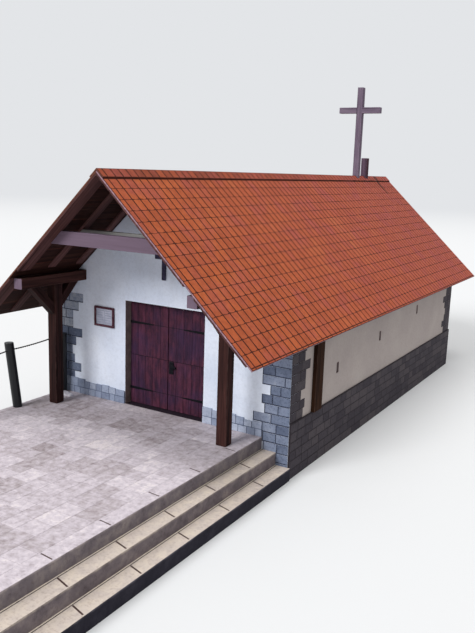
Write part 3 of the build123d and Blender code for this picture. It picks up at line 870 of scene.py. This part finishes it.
# The dado on the porch front is two rows of small stones, its top ragged
DADO_ROW = 1.85
dado = new_sheet()
for start, end in ((TERRACE_LOW.x, DOOR_LEFT), (DOOR_RIGHT, TERRACE_HIGH.x)):
    lay(dado, (start + 0.05, FRONT - 0.34, DECK), (end - 0.05, FRONT, DECK + 2.9), chance.random(), 1)
    for row in (0, 1):
        spot = start
        while spot < end - 0.01:
            stop = end if end - spot < 3.4 else spot + chance.uniform(1.6, 3.0)
            foot = DECK + (0 if row == 0 else DADO_ROW) + 0.08
            head = DECK + (DADO_ROW - chance.uniform(0.05, 0.2) if row == 0 else chance.uniform(3.1, 4.3))
            # Right of the door the dado is made paler: painted light, where more light falls on it.
            tone = chance.uniform(0.0, 0.7) + (0.3 if start > 0 else 0)
            lay(dado, (spot + 0.08, FRONT - 0.4, foot), (stop - 0.08, FRONT, head), tone)
            spot = stop
soften(dado, FINE_BEVEL)
finish_piece(dado, "porch_dado_stones", [dado_stone, dado_line], stands_for=both("front_plinth"))

# How far the corner stones of each row reach from the corner, and where the row is split, from the plinth up
RIGHT_QUOINS = [(7.1, 3.4), (9.5, 4.8), (6.6, 3.1), (7.35, 4.6), (5.2, 2.6),
                (7.35, 1.6), (7.35, 4.2), (9.5, 5.0), (6.6, 3.0), (7.35, 4.6)]
LEFT_QUOINS = [(6.5, 3.0), (7.5, 4.4), (9.75, 5.1), (7.5, 3.2), (6.75, 4.0), (8.0, 3.4),
               (10.2, 5.2), (7.0, 3.6), (7.0, 4.4), (9.0, 3.9), (10.6, 5.6)]
QUOIN_FOOT = 10.35 - 5 * STONE_ROW
LEFT_STONE_ROW = 2.375
LEFT_QUOIN_FOOT = 10.15
PALE_STONES_FROM = 26.0
MOST_ROWS = 40
EAVE_TOP = ROOF_HIGH.z - ROOF_CARD / math.cos(PITCH) - SLOPE * HALF
GABLE_TOP = EAVE_TOP + 4.6


def all_tones(level):
    """How dark and how pale the stones at a level may be: here any."""
    return 0.0, 1.0


def porch_tones(level):
    """The porch front's stones leave out the palest print."""
    return 0.05, 0.75


def left_porch_tones(level):
    """Those at its left corner are darker at the foot and the palest further up."""
    return (0.8, 1.0) if level > PALE_STONES_FROM else (0.05, 0.55)


def corner_column(stones, lines, place, corner, inward, pattern, foot, top, out_axis, out,
                  below=None, pitch=STONE_ROW, tones=all_tones):
    """Corner stones up a face, long and short in turn, each with a printed shadow at its foot and one end."""
    for number in range(MOST_ROWS):
        low = max(foot + pitch * number, 0)
        high = min(foot + pitch * (number + 1), top)
        if low > top - 0.8:
            return
        reach, split = pattern[number % len(pattern)]
        if below and low < below[0]:
            reach, split = min(reach, below[1]), min(split, below[1] / 2)
        for near, far in ((0, split), (split, reach)):
            start, stop = sorted((corner + inward * near, corner + inward * far))
            first, second = place(start + 0.2, stop - 0.04, low + 0.24, high - 0.04)
            darkest, palest = tones(low)
            lay(stones, first, second, darkest + (palest - darkest) * chance.random())
            first, second = (Vector(point) for point in place(start - 0.02, stop - 0.04, low, high - 0.04))
            outer = second if out > 0 else first
            outer[out_axis] -= out * STONE_RELIEF * 0.6
            lay(lines, first, second, chance.random())


# The porch front's stones have a painted slate-blue cast of blue sky light, those of the sides and the back
# are brown like the plinth.
pale = (new_sheet(), new_sheet())
brown = (new_sheet(), new_sheet())
right_start = RIGHT_QUOINS[-5:] + RIGHT_QUOINS
left_corner = (-1, LEFT_QUOINS, LEFT_QUOIN_FOOT, None, LEFT_STONE_ROW, left_porch_tones)
right_corner = (1, right_start, QUOIN_FOOT, (DECK, HALF - TERRACE_HIGH.x - 0.05), STONE_ROW, porch_tones)
for side, pattern, foot, *rest in (left_corner, right_corner):
    corner, flank = side * HALF, outward(side * HALF, side)
    corner_column(*pale, frontward(FRONT, -1), corner, -side, pattern, foot, GABLE_TOP, 1, -1, *rest)
    corner_column(*brown, frontward(BACK, 1), corner, -side, RIGHT_QUOINS, PLINTH_TOP, GABLE_TOP, 1, 1)
    corner_column(*brown, flank, FRONT, 1, RIGHT_QUOINS[2:], PLINTH_TOP, EAVE_TOP, 0, side)
    corner_column(*brown, flank, BACK, -1, LEFT_QUOINS[1:], PLINTH_TOP, EAVE_TOP, 0, side)
for sheet in (*pale, *brown):
    # The stones end just under the roof's cards, which lie on the gables.
    for side in (-1, 1):
        out = off_slope(side)
        cut_through(sheet, RIDGE - out * (ROOF_CARD + 0.02), out)
for kind, (stones, lines), stone, line in (("porch", pale, quoin_stone, quoin_line),
                                           ("side", brown, plinth_stone, mortar)):
    soften(stones, FINE_BEVEL)
    finish_piece(stones, f"{kind}_corner_stones", [stone])
    finish_piece(lines, f"{kind}_corner_shadows", [line])


# Walls with their openings printed brown, and grey paper behind the slits

SLIT_AREA = 10 * MM * MM
PANE_DEPTH = 0.5
PANE_THICK = 0.3
PANE_HALF = 0.7


def in_doorway(face):
    """The thickness of the wall at the doorway's sides and head."""
    middle = face.calc_center_median() / MM
    sides = abs(face.normal.x) > 0.9 and min(abs(middle.x - DOOR_LEFT), abs(middle.x - DOOR_RIGHT)) < 0.01
    return sides or (face.normal.z < -0.9 and middle.z > LEAF_TOP - 1)


def in_slit(face):
    """The thickness of the wall at a slit."""
    return abs(face.normal.x) < 0.1 and face.calc_area() < SLIT_AREA


front_walls = [*both("front_wall"), "front_gable"]
two_prints("porch_front_walls", front_walls, [porch_plaster_painted_skylight, reveal], in_doorway)
two_prints("long_walls", ["left_wall", "right_wall"], [side_plaster_painted_shade, reveal], in_slit)

panes = new_sheet()
for wall, side in (("left_wall", -1), ("right_wall", 1)):
    holed = cad_copy(wall)
    slits = [face for face in holed.faces if in_slit(face)]
    sills = [face.calc_center_median() / MM for face in slits if face.normal.z > 0.9]
    heads = [face.calc_center_median() / MM for face in slits if face.normal.z < -0.9]
    holed.free()
    near, far = sorted((side * (HALF - PANE_DEPTH), side * (HALF - PANE_DEPTH - PANE_THICK)))
    for sill in sills:
        head = min((spot for spot in heads if abs(spot.y - sill.y) < 0.5), key=lambda spot: spot.z)
        lay(panes, (near, sill.y - PANE_HALF, sill.z), (far, sill.y + PANE_HALF, head.z), 0.5)
finish_piece(panes, "slit_papers", [slit_paper])


# Door leaves of boards, with straps, lock and lever

BOARD_COUNT = 5
BOARD_GAP = 0.022
MID_LINE = DECK + 13.1
LEDGE_LINE = 0.06
STRAP_HALF = 0.35
STRAP_TIP = 0.35
RIVETS = (0.08, 0.34, 0.6)
RIVET_RADIUS = 0.17


def leaf(name):
    """A leaf of upright boards with fine gaps, a cross joint half way up, and a dark core."""
    low, high = span(f"door_leaf_{name}")
    bm = new_sheet()
    step = (high.x - low.x) / BOARD_COUNT
    for number in range(BOARD_COUNT):
        left, right = low.x + step * number + BOARD_GAP, low.x + step * (number + 1) - BOARD_GAP
        for foot, head in ((low.z, MID_LINE - LEDGE_LINE), (MID_LINE + LEDGE_LINE, high.z)):
            lay(bm, (left, low.y, foot), (right, high.y, head), chance.random())
    soften(bm, FINE_BEVEL)
    run_grain(bm)
    lay(bm, (low.x + 0.05, low.y + 0.12, low.z + 0.05), (high.x - 0.05, high.y - 0.12, high.z - 0.05), 0, 1)
    # The print carries a thin dark line on from each strap to the other edge.
    strap_low, strap_high = span(f"door_straps_{name}")
    for level in (strap_low.z + STRAP_HALF, strap_high.z - STRAP_HALF):
        lay(bm, (low.x + 0.1, low.y - 0.012, level - 0.06), (high.x - 0.1, low.y + 0.1, level + 0.06), 0, 1)
    prints = [door_boards_painted_shade, iron]
    finish_piece(bm, f"boards_{name}", prints, f"{name}_leaf", [f"door_leaf_{name}"])


def rivet(bm, place):
    """A flat round rivet head at a place in mm."""
    turn = Matrix.Translation(Vector(place) * MM) @ Matrix.Diagonal((1, 0.45, 1, 1))
    bmesh.ops.create_icosphere(bm, subdivisions=2, radius=RIVET_RADIUS * MM, matrix=turn)


def strap_irons(name, tip):
    """The straps of a leaf, riveted, each tapered to its tip, which points right at 1 and left at -1."""
    straps = cad_copy(f"door_straps_{name}")
    low, high = span(f"door_straps_{name}")
    end = high.x if tip > 0 else low.x
    for group in solids(straps):
        verts = dict.fromkeys(vert for face in group for vert in face.verts)
        middle = sum(vert.co.z for vert in verts) / len(verts)
        for vert in verts:
            if abs(vert.co.x / MM - end) < 0.01:
                vert.co.z = middle + (vert.co.z - middle) * STRAP_TIP
    soften(straps, 0.05)
    for group in solids(straps):
        middle = sum(face.calc_center_median().z for face in group) / len(group) / MM
        for share in RIVETS:
            rivet(straps, (end - tip * (high.x - low.x) * (1 - share), low.y, middle))
    finish_piece(straps, f"strap_irons_{name}", [iron], f"{name}_leaf", [f"door_straps_{name}"])


for name, tip in (("left", 1), ("right", -1)):
    leaf(name)
    strap_irons(name, tip)

lock = cad_copy("door_lock")
lock_low, lock_high = span("door_lock")
LEVER_MIDDLE = (lock_low.z + lock_high.z) / 2 + 0.175
LEVER_HALF = 0.3
LEVER_START = lock_low.x + 0.35
for vert in lock.verts:
    # The lever widens from its tip to the plate, upwards most.
    above = vert.co.z / MM - LEVER_MIDDLE
    if abs(above) < LEVER_HALF:
        root = (lock_high.x - vert.co.x / MM) / (lock_high.x - LEVER_START)
        vert.co.z = (LEVER_MIDDLE + above * (1 + 3.4 * root) + 0.3 * root) * MM
soften(lock, 0.07, segments=2)
finish_piece(lock, "lock_and_lever", [iron], "right_leaf", ["door_lock"])


# Notice board sheet with plain ruled lines

LINE_COUNT = 6
LINE_PITCH = 0.62
LINE_RELIEF = 0.012

finish_piece(cad_copy("notice_board_sheet"), "board_sheet", [paper],
             stands_for=["notice_board_sheet"])
sheet_low, sheet_high = span("notice_board_sheet")
face_y = sheet_low.y - LINE_RELIEF
middle_x = (sheet_low.x + sheet_high.x) / 2
ruled = new_sheet()
for row in range(LINE_COUNT):
    level = sheet_high.z - 0.6 - row * LINE_PITCH
    for start, end in ((sheet_low.x + 0.35, middle_x - 0.2), (middle_x + 0.2, sheet_high.x - 0.35)):
        short = chance.uniform(0, 0.5)
        lay(ruled, (start, face_y, level), (end - short, sheet_low.y, level + 0.13), 0.5)
low = (middle_x - 0.05, face_y, sheet_low.z + 0.3)
lay(ruled, low, (middle_x + 0.05, sheet_low.y, sheet_high.z - 0.4), 0.5)
finish_piece(ruled, "board_lines", [dado_stone])


# Fence: dowels and a twisted thread

LEANS = (0, 9, 3, 6, 1.5, 4.5)
FENCE_X = -31.4
FENCE_STEP = 16.0
FIRST_POST = FRONT - 2.0
POST_RADIUS = 1.15
POST_TALL = 16.3
FIRST_KNOT = 15.9
OTHER_KNOTS = 14.3
THREAD_SAG = 0.25
THREAD_STEPS = 90
THREAD_TURNS = 11
STRAND_RADIUS = 0.105

dowels = new_sheet()
for number, lean in enumerate(LEANS):
    place = Matrix.Translation(Vector((FENCE_X, FIRST_POST - FENCE_STEP * number, DECK + POST_TALL / 2)) * MM)
    radius = POST_RADIUS * MM
    made = bmesh.ops.create_cone(dowels, cap_ends=True, segments=28, radius1=radius, radius2=radius,
                                 depth=POST_TALL * MM, matrix=place)
    for vert in made["verts"]:
        vert.co.x -= math.tan(math.radians(lean)) * (vert.co.z - DECK * MM)
soften(dowels, 0.14, sharp(dowels, 1.0), segments=2)
run_grain(dowels)
finish_piece(dowels, "fence_dowels", [black_post], stands_for=["fence_posts"])


def drawn_mesh(curve):
    """The mesh that a curve draws."""
    holder = bpy.data.objects.new(curve.name, curve)
    bpy.context.collection.objects.link(holder)
    bpy.context.view_layer.update()
    mesh = bpy.data.meshes.new_from_object(holder.evaluated_get(bpy.context.evaluated_depsgraph_get()))
    bpy.data.objects.remove(holder)
    return mesh


def thread_route(first, last):
    """The points of a thread's own smooth line between its two knots."""
    curve = bpy.data.curves.new("thread_route", "CURVE")
    curve.dimensions = "3D"
    line = curve.splines.new("NURBS")
    line.points.add(2)
    middle = first.lerp(last, 0.5) - Vector((0, 0, 2 * THREAD_SAG))
    for point, spot in zip(line.points, (first, middle, last)):
        point.co = (*(spot * MM), 1)
    line.order_u = 3
    line.use_endpoint_u = True
    line.resolution_u = THREAD_STEPS
    drawn = drawn_mesh(curve)
    points = [vert.co.copy() for vert in drawn.vertices]
    bpy.data.meshes.remove(drawn)
    return points


# The first knot is just under the post's head, the others lower.
knots = []
for number, lean in enumerate(LEANS):
    rise = FIRST_KNOT if number == 0 else OTHER_KNOTS
    aside = math.tan(math.radians(lean)) * rise
    knots.append(Vector((FENCE_X - aside, FIRST_POST - FENCE_STEP * number, DECK + rise)))
strands = bpy.data.curves.new("fence_strands", "CURVE")
strands.dimensions = "3D"
strands.bevel_depth = STRAND_RADIUS * MM
strands.bevel_resolution = 2
strands.use_fill_caps = True
for first, last in zip(knots, knots[1:]):
    trim = (last - first).normalized() * (POST_RADIUS - 0.1)
    route = thread_route(first + trim, last - trim)
    for strand in range(2):
        line = strands.splines.new("POLY")
        line.points.add(len(route) - 1)
        for step, (point, spot) in enumerate(zip(line.points, route)):
            turn = math.radians(360 * THREAD_TURNS * step / (len(route) - 1) + 180 * strand)
            aside = Vector((math.cos(turn), 0, math.sin(turn))) * STRAND_RADIUS * 0.9 * MM
            point.co = (*(spot + aside), 1)
rope_mesh = drawn_mesh(strands)
twist = new_sheet()
twist.from_mesh(rope_mesh)
bpy.data.meshes.remove(rope_mesh)
bmesh.ops.remove_doubles(twist, verts=twist.verts[:], dist=0.001 * MM)
bmesh.ops.recalc_face_normals(twist, faces=twist.faces[:])
finish_piece(twist, "fence_twist", [thread], stands_for=["fence_rope"])

# Glue that ran out at the foot of the first post, and a drop on its head: each place from the post, and radii
GLUE_DROPS = (
    ((1.7, -1.6, DECK), (2.2, 1.5, 0.95)),
    ((3.7, -1.5, DECK), (1.3, 0.9, 0.45)),
    ((-0.2, -0.7, DECK + POST_TALL + 0.1), (0.5, 0.45, 0.6)),
)
drops = new_sheet()
for (x, y, z), radii in GLUE_DROPS:
    place = Matrix.Translation(Vector((FENCE_X + x, FIRST_POST + y, z)) * MM)
    bmesh.ops.create_icosphere(drops, subdivisions=3, radius=MM, matrix=place @ Matrix.Diagonal((*radii, 1)))
for vert in drops.verts:
    vert.co += vert.normal * noise.noise(vert.co / MM * 1.1) * 0.16 * MM
    vert.co.z = max(vert.co.z, DECK * MM)
finish_piece(drops, "glue_drops", [glue])


# Prints of the CAD nodes that show as they are

PRINTS = {
    "back_wall": side_plaster_painted_shade, "left_plinth": mortar, "right_plinth": mortar, "back_plinth": mortar,
    "hall_floor": paving, "door_sill": threshold_dark,
}
for name, material in PRINTS.items():
    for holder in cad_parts[name].material_slots:
        holder.material = material


# Studio: floor, light and the photograph's camera

BACKDROP = "#e3e5e8"
FLOOR_RADIUS = 6.0
SKY_LIGHT = 0.55
PHOTO_WIDTH = 475
FOCAL_PIXELS = 730.4164
SENSOR = 36
CAMERA_PLACE = Vector((105.94, -175.69, 69.50))
CAMERA_TURNS = (30.738, 11.3211, 1.953)


def paint_floor(tree):
    """Pale paper that takes the model's shadow, and further out goes over into the backdrop's own tone."""
    place = add(tree, "TexCoord").outputs["Object"]
    distance = add(tree, "VectorMath", {0: place}, operation="LENGTH")
    ends = {"From Min": 0.45, "From Max": 1.6}
    far = add(tree, "MapRange", {"Value": distance, **ends}, interpolation_type="SMOOTHSTEP")
    seen = add(tree, "LightPath").outputs["Is Camera Ray"]
    share = add(tree, "Math", {0: far, 1: seen}, operation="MULTIPLY")
    lit = add(tree, "BsdfDiffuse", {"Color": "#d9dadb"})
    plain = add(tree, "Emission", {"Color": BACKDROP, "Strength": 1.0})
    return add(tree, "MixShader", {0: share, 1: lit, 2: plain})


floor_mesh = bmesh.new()
bmesh.ops.create_circle(floor_mesh, cap_ends=True, segments=96, radius=FLOOR_RADIUS)
ground = bpy.data.meshes.new("studio_floor")
floor_mesh.to_mesh(ground)
floor_mesh.free()
floor_paper = empty_material("floor_paper")
add(floor_paper.node_tree, "OutputMaterial", {"Surface": paint_floor(floor_paper.node_tree)})
ground.materials.append(floor_paper)
floor = bpy.data.objects.new("studio_floor", ground)
bpy.context.collection.objects.link(floor)

world = bpy.data.worlds.new("studio")
bpy.context.scene.world = world
world.use_nodes = True
sky = world.node_tree
sky.nodes.clear()
rays = add(sky, "LightPath").outputs
seen = add(sky, "Math", {0: rays["Is Camera Ray"], 1: rays["Is Glossy Ray"]}, operation="MAXIMUM")
seen = add(sky, "Math", {0: seen, 1: rays["Is Transmission Ray"]}, operation="MAXIMUM")
soft = add(sky, "Background", {"Color": WHITE, "Strength": SKY_LIGHT})
plain = add(sky, "Background", {"Color": BACKDROP, "Strength": 1.0})
add(sky, "OutputWorld", {"Surface": add(sky, "MixShader", {0: seen, 1: soft, 2: plain})})


def lamp(name, energy, spread, tilt, turn):
    """A soft lamp far away: tilt from straight above, turned from the front to the right."""
    light = bpy.data.lights.new(name, "SUN")
    light.energy = energy
    light.angle = math.radians(spread)
    holder = bpy.data.objects.new(name, light)
    turned = Matrix.Rotation(math.radians(turn), 4, "Z")
    holder.matrix_world = turned @ Matrix.Rotation(math.radians(tilt), 4, "X")
    bpy.context.collection.objects.link(holder)


lamp("key", 2.2, 26, 57, -15)
lamp("top", 1.35, 30, 12, 100)

camera = bpy.data.cameras.new("camera")
camera.sensor_fit = "HORIZONTAL"
camera.sensor_width = SENSOR
camera.lens = FOCAL_PIXELS / PHOTO_WIDTH * SENSOR
camera.clip_start = 0.005
viewpoint = bpy.data.objects.new("camera", camera)
bpy.context.collection.objects.link(viewpoint)
yaw, dip, roll = (math.radians(angle) for angle in CAMERA_TURNS)
viewpoint.matrix_world = (Matrix.Translation(CAMERA_PLACE * MM) @ Matrix.Rotation(yaw, 4, "Z")
                          @ Matrix.Rotation(math.pi / 2 - dip, 4, "X") @ Matrix.Rotation(roll, 4, "Z"))
bpy.context.scene.camera = viewpoint
bpy.context.scene.view_settings.view_transform = "Standard"
